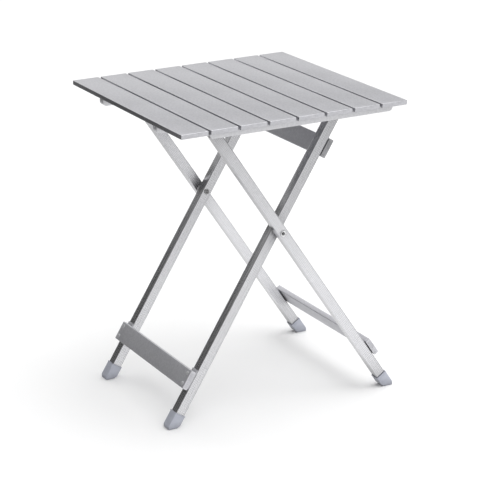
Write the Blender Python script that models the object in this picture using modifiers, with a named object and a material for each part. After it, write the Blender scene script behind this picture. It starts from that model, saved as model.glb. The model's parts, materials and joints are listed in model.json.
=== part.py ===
"""Folding side table: a slatted aluminium top on two crossed leg frames.

X runs across the slats, Y along them and Z up. The origin is on the floor, in the middle of the
table's footprint. The inner frame leans to +X and is hinged to the top. The outer frame leans to
-X, is riveted to the inner frame where the legs cross, and carries pins that slide along two
rails under the top. "near" pieces are on the -Y side and "far" pieces on the +Y side.
"""
import math

import bmesh
import bpy
from mathutils import Matrix

# Clearance left between two pieces that touch, and how far a cutter passes the piece it cuts.
GAP = 0.0003
CUTTER_MARGIN = 0.002

# Slatted top. Its middle is beside the origin because the outer frame's feet reach further out.
TOP_MIDDLE_X = -0.0068
TOP_HEIGHT = 0.600
SLAT_COUNT = 8
SLAT_PITCH = 0.060
SLAT_WIDTH = 0.055
SLAT_LENGTH = 0.466
SLAT_THICK = 0.0088
SLAT_SKIN = 0.0013
SLAT_END_WALL = 0.006
SLAT_SLOT = 0.022
SLAT_EDGE = 0.0010

# Leg tubes, and how they stand.
LEG_WIDTH = 0.020
LEG_DEPTH = 0.019
LEG_WALL = 0.0016
GROOVE_COUNT = 5
GROOVE_WIDTH = 0.0016
GROOVE_DEPTH = 0.0005
LEG_CORNER = 0.0012
LEG_INNER_CORNER = 0.0008
INNER_LEAN = math.radians(32.4)
OUTER_LEAN = math.radians(-33.6)
INNER_LEG_Y = 0.140
OUTER_LEG_Y = 0.168
AXES_CROSS_X = -0.0048
CROSS_HEIGHT = 0.3605
LEG_PAST_PIN = 0.005
LEG_FLOOR_GAP = 0.004

# Pivots, all parallel to Y. The two upper arms are equally long.
PIVOT_X = -0.0058
TOP_PIN_HEIGHT = 0.577
TOP_PIN_HALF_SPAN = 0.1406
HINGE_X = PIVOT_X + TOP_PIN_HALF_SPAN
SLIDE_X = PIVOT_X - TOP_PIN_HALF_SPAN

# Rails under the slats. Their ends are measured from the middle of the top.
RAIL_WALL = 0.0016
RAIL_CORNER = 0.008
RAIL_REACH = 0.231
INNER_RAIL_Y = 0.115
INNER_RAIL_WIDTH = 0.014
INNER_RAIL_BOTTOM = 0.5745
OUTER_RAIL_Y = 0.187
OUTER_RAIL_WIDTH = 0.014
OUTER_RAIL_BOTTOM = 0.5715
OUTER_RAIL_START = -0.160
SLOT_TOP = 0.5810
STOP_EDGE = 0.0006

# Crossbars: heights are measured along the leg from the point where the leg axes cross.
BAR_HEIGHT = 0.038
BAR_THICK = 0.0105
BAR_WALL = 0.0014
BAR_CORNER = 0.0016
BAR_INNER_CORNER = 0.0006
SPACER_THICK = 0.0017
BAR_FACE = LEG_WIDTH / 2 + SPACER_THICK + 2 * GAP
INNER_LOWER_BAR = -0.3295
INNER_UPPER_BAR = 0.1805
OUTER_LOWER_BAR = -0.336
PLUG_FLANGE = 0.0016
PLUG_DEPTH = 0.005
BAR_RIVET_SPREAD = 0.0215

# Pads between the crossbars and the legs. A margin keeps them short of the bar's edge.
PAD_MARGIN = 0.004
RAISED_PAD_TOP = 0.005
RAISED_PAD_DEPTH = 0.019
HIDDEN_PAD_DEPTH = 0.009

# Feet.
FOOT_WIDTH = 0.0236
FOOT_DEPTH = 0.0226
FOOT_GRIP = 0.021
FOOT_CHAMFER = 0.004
FOOT_NOSE_HEIGHT = 0.007
FOOT_EDGE = 0.0011

# Rivets, pins and bushes.
ROUND_STEPS = 16
SMALL_STEPS = 10
TAIL_HEIGHT = 0.0012
TAIL_HOLLOW_DEPTH = 0.0020
BAR_RIVET_SHANK = 0.0020
BAR_RIVET_HEAD = 0.0040
BAR_RIVET_DOME = 0.0016
BAR_RIVET_TAIL = 0.0027
BAR_RIVET_HOLLOW = 0.0011
PIVOT_SHANK = 0.0040
PIVOT_HEAD = 0.0058
PIVOT_DOME = 0.0020
PIVOT_TAIL = 0.0052
PIVOT_HOLLOW = 0.0030
RING_RADIUS = 0.0080
HINGE_SHANK = 0.0030
HINGE_SHOULDER = 0.0060
HINGE_HEAD = 0.0055
HINGE_TAIL = 0.0048
SLIDE_SHANK = 0.0024
SLIDE_HEAD = 0.0048
SLIDE_COLLAR = 0.0032
BUTTON_HEIGHT = 0.0018
BUSH_RADIUS = 0.0037
BUSH_LENGTH = 0.0115
PIVOT_BORE_LENGTH = 0.060
SLIDE_BORE_LENGTH = 0.030

SMOOTH_ANGLE = math.radians(35)
BEVEL_ANGLE = math.radians(25)
MERGE_DISTANCE = 0.000001
BODY_MARK_SIZE = 0.05

SIDES = (("near", -1), ("far", 1))
UPRIGHT = Matrix.Rotation(math.radians(90), 4, "X")
ALONG_X = Matrix(((0, 0, 1, 0), (1, 0, 0, 0), (0, 1, 0, 0), (0, 0, 0, 1)))


# ---------------------------------------------------------------- materials and collections

def clear_scene():
    for item in list(bpy.data.objects):
        bpy.data.objects.remove(item, do_unlink=True)


def new_collection(name):
    collection = bpy.data.collections.new(name)
    bpy.context.scene.collection.children.link(collection)
    return collection


def new_material(name, colour, roughness, metallic):
    material = bpy.data.materials.new(name)
    material.use_nodes = True
    shader = material.node_tree.nodes["Principled BSDF"]
    shader.inputs["Base Color"].default_value = (*colour, 1.0)
    shader.inputs["Roughness"].default_value = roughness
    shader.inputs["Metallic"].default_value = metallic
    return material


clear_scene()
PARTS = new_collection("folding_side_table")
CUTTERS = new_collection("cutters")
SLAT_METAL = new_material("slat_aluminium", (0.56, 0.56, 0.59), 0.42, 1.0)
RAIL_METAL = new_material("rail_aluminium", (0.60, 0.60, 0.62), 0.45, 1.0)
LEG_METAL = new_material("leg_aluminium", (0.82, 0.82, 0.84), 0.3, 1.0)
BAR_METAL = new_material("crossbar_aluminium", (0.54, 0.54, 0.57), 0.55, 0.75)
RIVET_METAL = new_material("rivet_steel", (0.60, 0.60, 0.62), 0.25, 1.0)
FOOT_PLASTIC = new_material("foot_plastic", (0.33, 0.35, 0.40), 0.55, 0.0)
GREY_PLASTIC = new_material("grey_plastic", (0.50, 0.50, 0.52), 0.5, 0.0)
NYLON = new_material("nylon", (0.07, 0.07, 0.075), 0.4, 0.0)


# ---------------------------------------------------------------- shape helpers

def smooth(mesh):
    mesh.shade_smooth()
    mesh.set_sharp_from_angle(angle=SMOOTH_ANGLE)


def new_part(name, mesh, matrix, material):
    part = bpy.data.objects.new(name, mesh)
    part.data.materials.append(material)
    part.matrix_world = matrix
    PARTS.objects.link(part)
    return part


def new_cutter(name, mesh, matrix):
    cutter = bpy.data.objects.new(name, mesh)
    cutter.matrix_world = matrix
    cutter.hide_render = True
    cutter.display_type = "WIRE"
    CUTTERS.objects.link(cutter)
    return cutter


def cut(part, cutter):
    boolean = part.modifiers.new("cut_" + cutter.name, "BOOLEAN")
    boolean.operation = "DIFFERENCE"
    boolean.object = cutter


def round_edges(part, width, segments):
    bevel = part.modifiers.new("rounded_edges", "BEVEL")
    bevel.width = width
    bevel.segments = segments
    bevel.limit_method = "ANGLE"
    bevel.angle_limit = BEVEL_ANGLE


def box_mesh(name, size_x, size_y, size_z):
    shape = bmesh.new()
    bmesh.ops.create_cube(shape, size=1.0)
    bmesh.ops.scale(shape, vec=(size_x, size_y, size_z), verts=shape.verts)
    mesh = bpy.data.meshes.new(name)
    shape.to_mesh(mesh)
    shape.free()
    return mesh


def rod_mesh(name, radius, length, steps=ROUND_STEPS):
    shape = bmesh.new()
    bmesh.ops.create_cone(
        shape, cap_ends=True, segments=steps, radius1=radius, radius2=radius, depth=length
    )
    mesh = bpy.data.meshes.new(name)
    shape.to_mesh(mesh)
    shape.free()
    return mesh


def extruded_mesh(name, loops, length):
    """Extrude closed loops of (x, y) points along Z, half to each side. Inner loops are holes."""
    curve = bpy.data.curves.new(name + "_outline", "CURVE")
    curve.dimensions = "2D"
    curve.fill_mode = "BOTH"
    curve.extrude = length / 2
    for loop in loops:
        spline = curve.splines.new("POLY")
        spline.points.add(len(loop) - 1)
        for point, (x, y) in zip(spline.points, loop):
            point.co = (x, y, 0.0, 1.0)
        spline.use_cyclic_u = True
    outline = bpy.data.objects.new(name + "_outline", curve)
    bpy.context.scene.collection.objects.link(outline)
    graph = bpy.context.evaluated_depsgraph_get()
    mesh = bpy.data.meshes.new_from_object(outline.evaluated_get(graph))
    bpy.data.objects.remove(outline)
    shape = bmesh.new()
    shape.from_mesh(mesh)
    bmesh.ops.remove_doubles(shape, verts=shape.verts, dist=MERGE_DISTANCE)
    bmesh.ops.recalc_face_normals(shape, faces=shape.faces)
    shape.to_mesh(mesh)
    shape.free()
    mesh.name = name
    return mesh


def turned_part(name, profile, matrix, material, steps=ROUND_STEPS):
    """Turn a profile of (radius, height) points, listed from the top down, about Z."""
    mesh = bpy.data.meshes.new(name)
    points = [(radius, 0.0, height) for radius, height in profile]
    edges = [(i, i + 1) for i in range(len(points) - 1)]
    mesh.from_pydata(points, edges, [])
    part = new_part(name, mesh, matrix, material)
    screw = part.modifiers.new("turned", "SCREW")
    screw.axis = "Z"
    screw.steps = steps
    screw.render_steps = steps
    screw.use_merge_vertices = True
    screw.merge_threshold = MERGE_DISTANCE
    screw.use_smooth_shade = True
    return part


def circle(radius):
    step = 2 * math.pi / ROUND_STEPS
    return [(radius * math.cos(i * step), radius * math.sin(i * step)) for i in range(ROUND_STEPS)]


def arc(centre_x, centre_y, radius, start, end, steps):
    angles = [math.radians(start + (end - start) * i / steps) for i in range(steps + 1)]
    return [(centre_x + radius * math.cos(a), centre_y + radius * math.sin(a)) for a in angles]


def rounded_rectangle(width, height, radius, steps=2):
    x, y = width / 2 - radius, height / 2 - radius
    return (
        arc(x, y, radius, 0, 90, steps)
        + arc(-x, y, radius, 90, 180, steps)
        + arc(-x, -y, radius, 180, 270, steps)
        + arc(x, -y, radius, 270, 360, steps)
    )


def dome(radius, height, steps=3):
    """Profile of a domed head above height 0, from its middle out to its rim."""
    angles = [math.pi / 2 * index / steps for index in range(steps + 1)]
    return [(radius * math.sin(angle), height * math.cos(angle)) for angle in angles]


def button(radius, level):
    """Profile of a domed head below a level, from its rim in to its middle."""
    return [(x, level - z) for x, z in reversed(dome(radius, BUTTON_HEIGHT))]


def rivet_profile(head, height, shank, grip, tail, hollow):
    """Domed head above height 0, shank through the grip, flared tail with a blind hole."""
    return dome(head, height) + [
        (shank, 0.0),
        (shank, -grip),
        (tail, -grip),
        (tail, -grip - TAIL_HEIGHT),
        (hollow, -grip - TAIL_HEIGHT),
        (hollow, -grip + TAIL_HOLLOW_DEPTH),
        (0.0, -grip + TAIL_HOLLOW_DEPTH),
    ]


# ---------------------------------------------------------------- bodies and leg frames

def new_body(name, x, z):
    """Empty on the body's joint axis, at the middle of the table."""
    body = bpy.data.objects.new(name, None)
    body.empty_display_size = BODY_MARK_SIZE
    body.location = (x, 0.0, z)
    PARTS.objects.link(body)
    return body


def attach(part, body):
    part.parent = body
    part.matrix_parent_inverse = Matrix.Translation(body.location).inverted()
    return part


INNER_FRAME = new_body("inner_frame_body", AXES_CROSS_X, CROSS_HEIGHT)
OUTER_FRAME = new_body("outer_frame_body", PIVOT_X, CROSS_HEIGHT)
TABLETOP = new_body("tabletop_body", HINGE_X, TOP_PIN_HEIGHT)


def leaning(lean):
    """Frame with Z up along the leg and X across it, centred where the leg axes cross."""
    return Matrix.Translation((AXES_CROSS_X, 0.0, CROSS_HEIGHT)) @ Matrix.Rotation(lean, 4, "Y")


def facing(side):
    """Turn Z towards the near (-1) or the far (1) side."""
    return Matrix.Rotation(math.radians(-90 * side), 4, "X")


def bore_along_y(name, x, z, radius, centre_y, length, parts):
    matrix = Matrix.Translation((x, centre_y, z)) @ UPRIGHT
    cutter = new_cutter(name, rod_mesh(name, radius, length), matrix)
    for part in parts:
        cut(part, cutter)


# ---------------------------------------------------------------- slatted top

def make_slats():
    """Each slat is hollow, with a slot underneath between two lips and closed ends."""
    length = SLAT_LENGTH - 2 * SLAT_END_WALL
    hollow = box_mesh("slat_hollow", SLAT_WIDTH - 2 * SLAT_SKIN, length, SLAT_THICK - 2 * SLAT_SKIN)
    slot = box_mesh("slat_slot", SLAT_SLOT, length, SLAT_THICK)
    for index in range(SLAT_COUNT):
        name = "slat_%d" % (index + 1)
        x = TOP_MIDDLE_X + (index - (SLAT_COUNT - 1) / 2) * SLAT_PITCH
        place = Matrix.Translation((x, 0.0, TOP_HEIGHT - SLAT_THICK / 2))
        slat = new_part(name, box_mesh(name, SLAT_WIDTH, SLAT_LENGTH, SLAT_THICK), place, SLAT_METAL)
        round_edges(slat, SLAT_EDGE, 2)
        cut(slat, new_cutter(name + "_hollow", hollow, place))
        below = Matrix.Translation((0.0, 0.0, -SLAT_THICK / 2))
        cut(slat, new_cutter(name + "_slot", slot, place @ below))
        attach(slat, TABLETOP)


def rail_outline(start, bottom):
    """Side view of a rail, with both lower corners rounded."""
    top = TOP_HEIGHT - SLAT_THICK - GAP
    end = RAIL_REACH
    corner_height = bottom + RAIL_CORNER
    return (
        [(start, top)]
        + arc(start + RAIL_CORNER, corner_height, RAIL_CORNER, 180, 270, 5)
        + arc(end - RAIL_CORNER, corner_height, RAIL_CORNER, 270, 360, 5)
        + [(end, top)]
    )


def make_inner_rail(word, side):
    """Channel open underneath, which carries the hinge of the inner frame."""
    name = "inner_rail_" + word
    outline = rail_outline(-RAIL_REACH, INNER_RAIL_BOTTOM)
    place = Matrix.Translation((TOP_MIDDLE_X, side * INNER_RAIL_Y, 0.0))
    rail = new_part(name, extruded_mesh(name, [outline], INNER_RAIL_WIDTH), place @ UPRIGHT, RAIL_METAL)
    roof = TOP_HEIGHT - SLAT_THICK - GAP - RAIL_WALL
    below = INNER_RAIL_BOTTOM - CUTTER_MARGIN
    length = 2 * (RAIL_REACH + CUTTER_MARGIN)
    width = INNER_RAIL_WIDTH - 2 * RAIL_WALL
    channel = box_mesh(name + "_channel", length, width, roof - below)
    middle = place @ Matrix.Translation((0.0, 0.0, (roof + below) / 2))
    cut(rail, new_cutter(name + "_channel", channel, middle))
    attach(rail, TABLETOP)
    return rail


def make_outer_rail(word, side):
    """Rail closed on its outer side, with a slot on its inner side for the sliding bush."""
    name = "outer_rail_" + word
    outline = rail_outline(OUTER_RAIL_START, OUTER_RAIL_BOTTOM)
    place = Matrix.Translation((TOP_MIDDLE_X, side * OUTER_RAIL_Y, 0.0))
    rail = new_part(name, extruded_mesh(name, [outline], OUTER_RAIL_WIDTH), place @ UPRIGHT, RAIL_METAL)
    floor = OUTER_RAIL_BOTTOM + RAIL_WALL
    roof = TOP_HEIGHT - SLAT_THICK - GAP - RAIL_WALL
    outer = side * (OUTER_RAIL_WIDTH / 2 - RAIL_WALL)
    lip = -outer
    inside = -side * (OUTER_RAIL_WIDTH / 2 + CUTTER_MARGIN)
    track = [
        (outer, floor),
        (outer, roof),
        (lip, roof),
        (lip, SLOT_TOP),
        (inside, SLOT_TOP),
        (inside, floor),
    ]
    mesh = extruded_mesh(name + "_track", [track], 2 * (RAIL_REACH + CUTTER_MARGIN))
    cut(rail, new_cutter(name + "_track", mesh, place @ ALONG_X))
    attach(rail, TABLETOP)


def make_rail_stop(word, side):
    """Block inside the outer rail that the bush rests against when the table stands open."""
    name = "rail_stop_" + word
    floor = OUTER_RAIL_BOTTOM + RAIL_WALL + GAP
    roof = TOP_HEIGHT - SLAT_THICK - 2 * GAP - RAIL_WALL
    start = TOP_MIDDLE_X + OUTER_RAIL_START + RAIL_CORNER
    end = SLIDE_X - BUSH_RADIUS - GAP
    width = OUTER_RAIL_WIDTH - 2 * RAIL_WALL - 2 * GAP
    place = Matrix.Translation(((start + end) / 2, side * OUTER_RAIL_Y, (floor + roof) / 2))
    stop = new_part(name, box_mesh(name, end - start, width, roof - floor), place, GREY_PLASTIC)
    round_edges(stop, STOP_EDGE, 1)
    attach(stop, TABLETOP)


# ---------------------------------------------------------------- legs and feet

def ribbed_outline():
    """Leg section with shallow grooves along the two faces that look along Y."""
    half_width, half_depth = LEG_WIDTH / 2, LEG_DEPTH / 2
    pitch = (LEG_WIDTH - 2 * LEG_CORNER) / GROOVE_COUNT
    face = []
    for index in range(GROOVE_COUNT):
        middle = (index - (GROOVE_COUNT - 1) / 2) * pitch
        left, right = middle - GROOVE_WIDTH / 2, middle + GROOVE_WIDTH / 2
        face += [
            (left, half_depth),
            (left, half_depth - GROOVE_DEPTH),
            (right, half_depth - GROOVE_DEPTH),
            (right, half_depth),
        ]
    x, y = half_width - LEG_CORNER, half_depth - LEG_CORNER
    far_half = (
        arc(-x, y, LEG_CORNER, 180, 90, 2)
        + face
        + arc(x, y, LEG_CORNER, 90, 0, 2)
    )
    near_half = [(-px, -py) for px, py in far_half]
    return far_half + near_half


def leg_span(lean):
    """Lowest and highest point of a leg, measured along it from where the leg axes cross."""
    top = (TOP_PIN_HEIGHT - CROSS_HEIGHT) / math.cos(lean) + LEG_PAST_PIN
    drop = CROSS_HEIGHT - LEG_FLOOR_GAP - LEG_WIDTH / 2 * math.sin(abs(lean))
    return -drop / math.cos(lean), top


def make_leg(name, lean, y, body):
    bottom, top = leg_span(lean)
    bore_width, bore_depth = LEG_WIDTH - 2 * LEG_WALL, LEG_DEPTH - 2 * LEG_WALL
    bore = rounded_rectangle(bore_width, bore_depth, LEG_INNER_CORNER, 1)
    mesh = extruded_mesh(name, [ribbed_outline(), bore], top - bottom)
    place = leaning(lean) @ Matrix.Translation((0.0, y, (top + bottom) / 2))
    return attach(new_part(name, mesh, place, LEG_METAL), body)


def make_foot(name, lean, y, body):
    """Cap on the leg's end: a square rim, a level sole and an upright nose at its outer end."""
    half = FOOT_WIDTH / 2
    rim = leg_span(lean)[0] + FOOT_GRIP
    outer = math.copysign(1.0, -lean)

    def floor_at(x):
        return (x * math.sin(lean) - CROSS_HEIGHT) / math.cos(lean)

    nose_x = outer * (half - FOOT_NOSE_HEIGHT * math.sin(abs(lean)))
    nose_top = floor_at(outer * half) + FOOT_NOSE_HEIGHT / math.cos(lean)
    heel_x = -outer * (half - FOOT_CHAMFER)
    outline = [
        (outer * half, rim),
        (outer * half, nose_top),
        (nose_x, floor_at(nose_x)),
        (heel_x, floor_at(heel_x)),
        (-outer * half, floor_at(-outer * half) + FOOT_CHAMFER),
        (-outer * half, rim),
    ]
    place = leaning(lean) @ Matrix.Translation((0.0, y, 0.0))
    foot = new_part(name, extruded_mesh(name, [outline], FOOT_DEPTH), place @ UPRIGHT, FOOT_PLASTIC)
    round_edges(foot, FOOT_EDGE, 1)
    height = FOOT_GRIP + CUTTER_MARGIN
    socket = box_mesh(name + "_socket", LEG_WIDTH + 2 * GAP, LEG_DEPTH + 2 * GAP, height)
    depth = Matrix.Translation((0.0, 0.0, rim - FOOT_GRIP - GAP + height / 2))
    cut(foot, new_cutter(name + "_socket", socket, place @ depth))
    attach(foot, body)


# ---------------------------------------------------------------- crossbars

def make_crossbar(name, lean, height, face, half_length, body):
    """Flat hollow bar across both legs. face is 1 or -1, the side of the leg it lies on."""
    offset = face * (BAR_FACE + BAR_THICK / 2)
    outer = rounded_rectangle(BAR_THICK, BAR_HEIGHT, BAR_CORNER)
    bore_thick, bore_height = BAR_THICK - 2 * BAR_WALL, BAR_HEIGHT - 2 * BAR_WALL
    inner = rounded_rectangle(bore_thick, bore_height, BAR_INNER_CORNER, 1)
    length = 2 * (half_length - PLUG_FLANGE - GAP)
    place = leaning(lean) @ Matrix.Translation((offset, 0.0, height))
    bar = new_part(name, extruded_mesh(name, [outer, inner], length), place @ UPRIGHT, BAR_METAL)
    return attach(bar, body)


def make_bar_plug(name, lean, height, face, half_length, side, body):
    """Plug that closes one end of a crossbar: a flange with a tongue inside the bar."""
    offset = face * (BAR_FACE + BAR_THICK / 2)
    end = side * (half_length - PLUG_FLANGE / 2)
    place = leaning(lean) @ Matrix.Translation((offset, end, height))
    flange = extruded_mesh(name, [rounded_rectangle(BAR_THICK, BAR_HEIGHT, BAR_CORNER)], PLUG_FLANGE)
    plug = new_part(name, flange, place @ UPRIGHT, GREY_PLASTIC)
    shrink = 2 * BAR_WALL + 2 * GAP
    tongue_mesh = box_mesh(name + "_tongue", BAR_THICK - shrink, PLUG_DEPTH, BAR_HEIGHT - shrink)
    inward = Matrix.Translation((0.0, -side * PLUG_DEPTH / 2, 0.0))
    tongue = new_cutter(name + "_tongue", tongue_mesh, place @ inward)
    union = plug.modifiers.new("tongue", "BOOLEAN")
    union.operation = "UNION"
    union.object = tongue
    attach(plug, body)


def make_bar_spacer(name, lean, height, face, leg_y, raised, body):
    """Pad between the leg and the crossbar. A raised one shows above the bar's upper edge."""
    low = PAD_MARGIN - BAR_HEIGHT / 2
    high = BAR_HEIGHT / 2 + (RAISED_PAD_TOP if raised else -PAD_MARGIN)
    depth = RAISED_PAD_DEPTH if raised else HIDDEN_PAD_DEPTH
    offset = face * (LEG_WIDTH / 2 + GAP + SPACER_THICK / 2)
    place = leaning(lean) @ Matrix.Translation((offset, leg_y, height + (low + high) / 2))
    mesh = box_mesh(name, SPACER_THICK, depth, high - low)
    return attach(new_part(name, mesh, place, GREY_PLASTIC), body)


def make_bar_rivet(name, lean, height, face, leg_y, bar, spacer, leg, body):
    """Blind rivet through the crossbar, its spacer and the leg's wall."""
    surface = BAR_FACE + BAR_THICK + GAP
    grip = surface - LEG_WIDTH / 2 + LEG_WALL + GAP
    outward = Matrix.Rotation(math.radians(90 * face), 4, "Y")
    place = leaning(lean) @ Matrix.Translation((face * surface, leg_y, height)) @ outward
    profile = rivet_profile(
        BAR_RIVET_HEAD, BAR_RIVET_DOME, BAR_RIVET_SHANK, grip, BAR_RIVET_TAIL, BAR_RIVET_HOLLOW
    )
    attach(turned_part(name, profile, place, RIVET_METAL, SMALL_STEPS), body)
    bore = rod_mesh(name + "_bore", BAR_RIVET_SHANK + GAP, grip + 2 * CUTTER_MARGIN, SMALL_STEPS)
    cutter = new_cutter(name + "_bore", bore, place @ Matrix.Translation((0.0, 0.0, -grip / 2)))
    for part in (bar, spacer, leg):
        cut(part, cutter)


def fit_crossbar(word, lean, height, face, leg_y, legs, raised, body):
    """Crossbar with its plugs, pads and rivets. Its ends are flush with the legs' outer faces."""
    half_length = leg_y + LEG_DEPTH / 2
    bar = make_crossbar(word + "_crossbar", lean, height, face, half_length, body)
    for end, side in SIDES:
        label = "%s_crossbar_%s" % (word, end)
        make_bar_plug(label + "_plug", lean, height, face, half_length, side, body)
        leg_middle = side * leg_y
        spacer = make_bar_spacer(label + "_spacer", lean, height, face, leg_middle, raised, body)
        for position, sign in (("lower", -1), ("upper", 1)):
            rivet = "%s_%s_rivet" % (label, position)
            rivet_height = height + sign * BAR_RIVET_SPREAD / 2
            make_bar_rivet(rivet, lean, rivet_height, face, leg_middle, bar, spacer, legs[end], body)


# ---------------------------------------------------------------- pivots

def make_pivot(word, side, inner_leg, outer_leg):
    """Tubular rivet through both legs where they cross, with a ring between them."""
    surface = OUTER_LEG_Y + LEG_DEPTH / 2 + GAP
    grip = surface - INNER_LEG_Y + LEG_DEPTH / 2 + GAP
    place = Matrix.Translation((PIVOT_X, side * surface, CROSS_HEIGHT)) @ facing(side)
    profile = rivet_profile(PIVOT_HEAD, PIVOT_DOME, PIVOT_SHANK, grip, PIVOT_TAIL, PIVOT_HOLLOW)
    attach(turned_part("crossing_rivet_" + word, profile, place, RIVET_METAL), INNER_FRAME)
    middle = (INNER_LEG_Y + OUTER_LEG_Y) / 2
    bore_name = "crossing_bore_" + word
    bore_radius = PIVOT_SHANK + GAP
    legs = (inner_leg, outer_leg)
    bore_y = side * middle
    bore_along_y(bore_name, PIVOT_X, CROSS_HEIGHT, bore_radius, bore_y, PIVOT_BORE_LENGTH, legs)
    length = OUTER_LEG_Y - INNER_LEG_Y - LEG_DEPTH - 2 * GAP
    name = "crossing_ring_" + word
    mesh = extruded_mesh(name, [circle(RING_RADIUS), circle(bore_radius)], length)
    ring_place = Matrix.Translation((PIVOT_X, side * middle, CROSS_HEIGHT)) @ UPRIGHT
    attach(new_part(name, mesh, ring_place, NYLON), INNER_FRAME)


def make_hinge_rivet(word, side, leg, rail):
    """Shouldered rivet that hinges the inner leg to the inner rail."""
    leg_outer = INNER_LEG_Y + LEG_DEPTH / 2 + GAP
    leg_inner = INNER_LEG_Y - LEG_DEPTH / 2 - GAP
    rail_outer = INNER_RAIL_Y + INNER_RAIL_WIDTH / 2 + GAP
    rail_inner = INNER_RAIL_Y - INNER_RAIL_WIDTH / 2 - GAP
    profile = dome(HINGE_HEAD, BUTTON_HEIGHT) + [
        (HINGE_SHANK, 0.0),
        (HINGE_SHANK, leg_inner - leg_outer),
        (HINGE_SHOULDER, leg_inner - leg_outer),
        (HINGE_SHOULDER, rail_outer - leg_outer),
        (HINGE_SHANK, rail_outer - leg_outer),
        (HINGE_SHANK, rail_inner - leg_outer),
    ]
    profile += button(HINGE_TAIL, rail_inner - leg_outer)
    place = Matrix.Translation((HINGE_X, side * leg_outer, TOP_PIN_HEIGHT)) @ facing(side)
    attach(turned_part("hinge_rivet_" + word, profile, place, RIVET_METAL), INNER_FRAME)
    middle = side * (INNER_LEG_Y + INNER_RAIL_Y) / 2
    radius, length = HINGE_SHANK + GAP, PIVOT_BORE_LENGTH
    bore_along_y("hinge_bore_" + word, HINGE_X, TOP_PIN_HEIGHT, radius, middle, length, (leg, rail))


def make_slide_pin(word, side, leg):
    """Pin at the top of the outer leg, with the bush that runs in the outer rail's slot."""
    leg_inner = OUTER_LEG_Y - LEG_DEPTH / 2 - GAP
    bush_start = OUTER_LEG_Y + LEG_DEPTH / 2 + GAP
    bush_end = bush_start + BUSH_LENGTH
    tip = bush_end + GAP - leg_inner
    profile = [
        (0.0, tip + TAIL_HEIGHT),
        (SLIDE_COLLAR, tip + TAIL_HEIGHT),
        (SLIDE_COLLAR, tip),
        (SLIDE_SHANK, tip),
        (SLIDE_SHANK, 0.0),
    ]
    profile += button(SLIDE_HEAD, 0.0)
    place = Matrix.Translation((SLIDE_X, side * leg_inner, TOP_PIN_HEIGHT)) @ facing(side)
    attach(turned_part("slide_pin_" + word, profile, place, RIVET_METAL), OUTER_FRAME)
    bore_radius = SLIDE_SHANK + GAP
    name = "slide_bush_" + word
    mesh = extruded_mesh(name, [circle(BUSH_RADIUS), circle(bore_radius)], BUSH_LENGTH)
    bush_y = side * (bush_start + bush_end) / 2
    bush_place = Matrix.Translation((SLIDE_X, bush_y, TOP_PIN_HEIGHT)) @ UPRIGHT
    attach(new_part(name, mesh, bush_place, NYLON), OUTER_FRAME)
    leg_y, length = side * OUTER_LEG_Y, SLIDE_BORE_LENGTH
    bore_along_y("slide_bore_" + word, SLIDE_X, TOP_PIN_HEIGHT, bore_radius, leg_y, length, (leg,))


# ---------------------------------------------------------------- assembly

def make_table():
    make_slats()
    inner_legs, outer_legs = {}, {}
    for word, side in SIDES:
        inner_y, outer_y = side * INNER_LEG_Y, side * OUTER_LEG_Y
        inner_legs[word] = make_leg("inner_leg_" + word, INNER_LEAN, inner_y, INNER_FRAME)
        outer_legs[word] = make_leg("outer_leg_" + word, OUTER_LEAN, outer_y, OUTER_FRAME)
        make_foot("inner_foot_" + word, INNER_LEAN, inner_y, INNER_FRAME)
        make_foot("outer_foot_" + word, OUTER_LEAN, outer_y, OUTER_FRAME)
        inner_rail = make_inner_rail(word, side)
        make_outer_rail(word, side)
        make_rail_stop(word, side)
        make_pivot(word, side, inner_legs[word], outer_legs[word])
        make_hinge_rivet(word, side, inner_legs[word], inner_rail)
        make_slide_pin(word, side, outer_legs[word])
    inner = (INNER_LEG_Y, inner_legs)
    outer = (OUTER_LEG_Y, outer_legs)
    fit_crossbar("inner_lower", INNER_LEAN, INNER_LOWER_BAR, -1, *inner, True, INNER_FRAME)
    fit_crossbar("inner_upper", INNER_LEAN, INNER_UPPER_BAR, 1, *inner, False, INNER_FRAME)
    fit_crossbar("outer_lower", OUTER_LEAN, OUTER_LOWER_BAR, 1, *outer, False, OUTER_FRAME)
    for part in PARTS.objects:
        if part.type == "MESH":
            smooth(part.data)


make_table()
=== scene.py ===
"""Looks of the folding side table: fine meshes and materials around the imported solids.

X runs across the slats, Y along them and Z up, in metres. Every visible piece is rebuilt at its
solid's own size and place with rounded edges, ribs and turned heads. The places come from the
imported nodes' boxes and from the record's joints.
"""
import json
import math

import bmesh
import bpy
from mathutils import Matrix, Vector


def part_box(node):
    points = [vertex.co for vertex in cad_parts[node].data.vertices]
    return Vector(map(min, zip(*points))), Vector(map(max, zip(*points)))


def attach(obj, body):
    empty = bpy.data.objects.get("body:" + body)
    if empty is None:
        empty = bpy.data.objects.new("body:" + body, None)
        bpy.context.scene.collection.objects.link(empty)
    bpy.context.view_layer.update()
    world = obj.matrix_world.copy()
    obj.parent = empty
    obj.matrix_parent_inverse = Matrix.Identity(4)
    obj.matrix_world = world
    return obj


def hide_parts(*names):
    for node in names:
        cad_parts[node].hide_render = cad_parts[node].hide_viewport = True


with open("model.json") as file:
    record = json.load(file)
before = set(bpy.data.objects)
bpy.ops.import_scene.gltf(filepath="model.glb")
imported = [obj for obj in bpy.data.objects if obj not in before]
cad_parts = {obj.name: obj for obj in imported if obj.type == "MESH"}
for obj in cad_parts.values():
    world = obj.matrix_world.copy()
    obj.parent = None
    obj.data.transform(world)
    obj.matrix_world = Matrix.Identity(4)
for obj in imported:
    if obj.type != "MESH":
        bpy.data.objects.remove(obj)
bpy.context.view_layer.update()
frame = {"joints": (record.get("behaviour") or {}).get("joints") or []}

# Slats.
SLAT_COUNT = 8
SLAT_SKIN = 0.0013
SLAT_END_WALL = 0.006
SLAT_SLOT = 0.022
SLAT_EDGE = 0.0011
SLAT_BEVEL_STEPS = 4
SLAT_RIVET_OFFSET = 0.018

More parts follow.
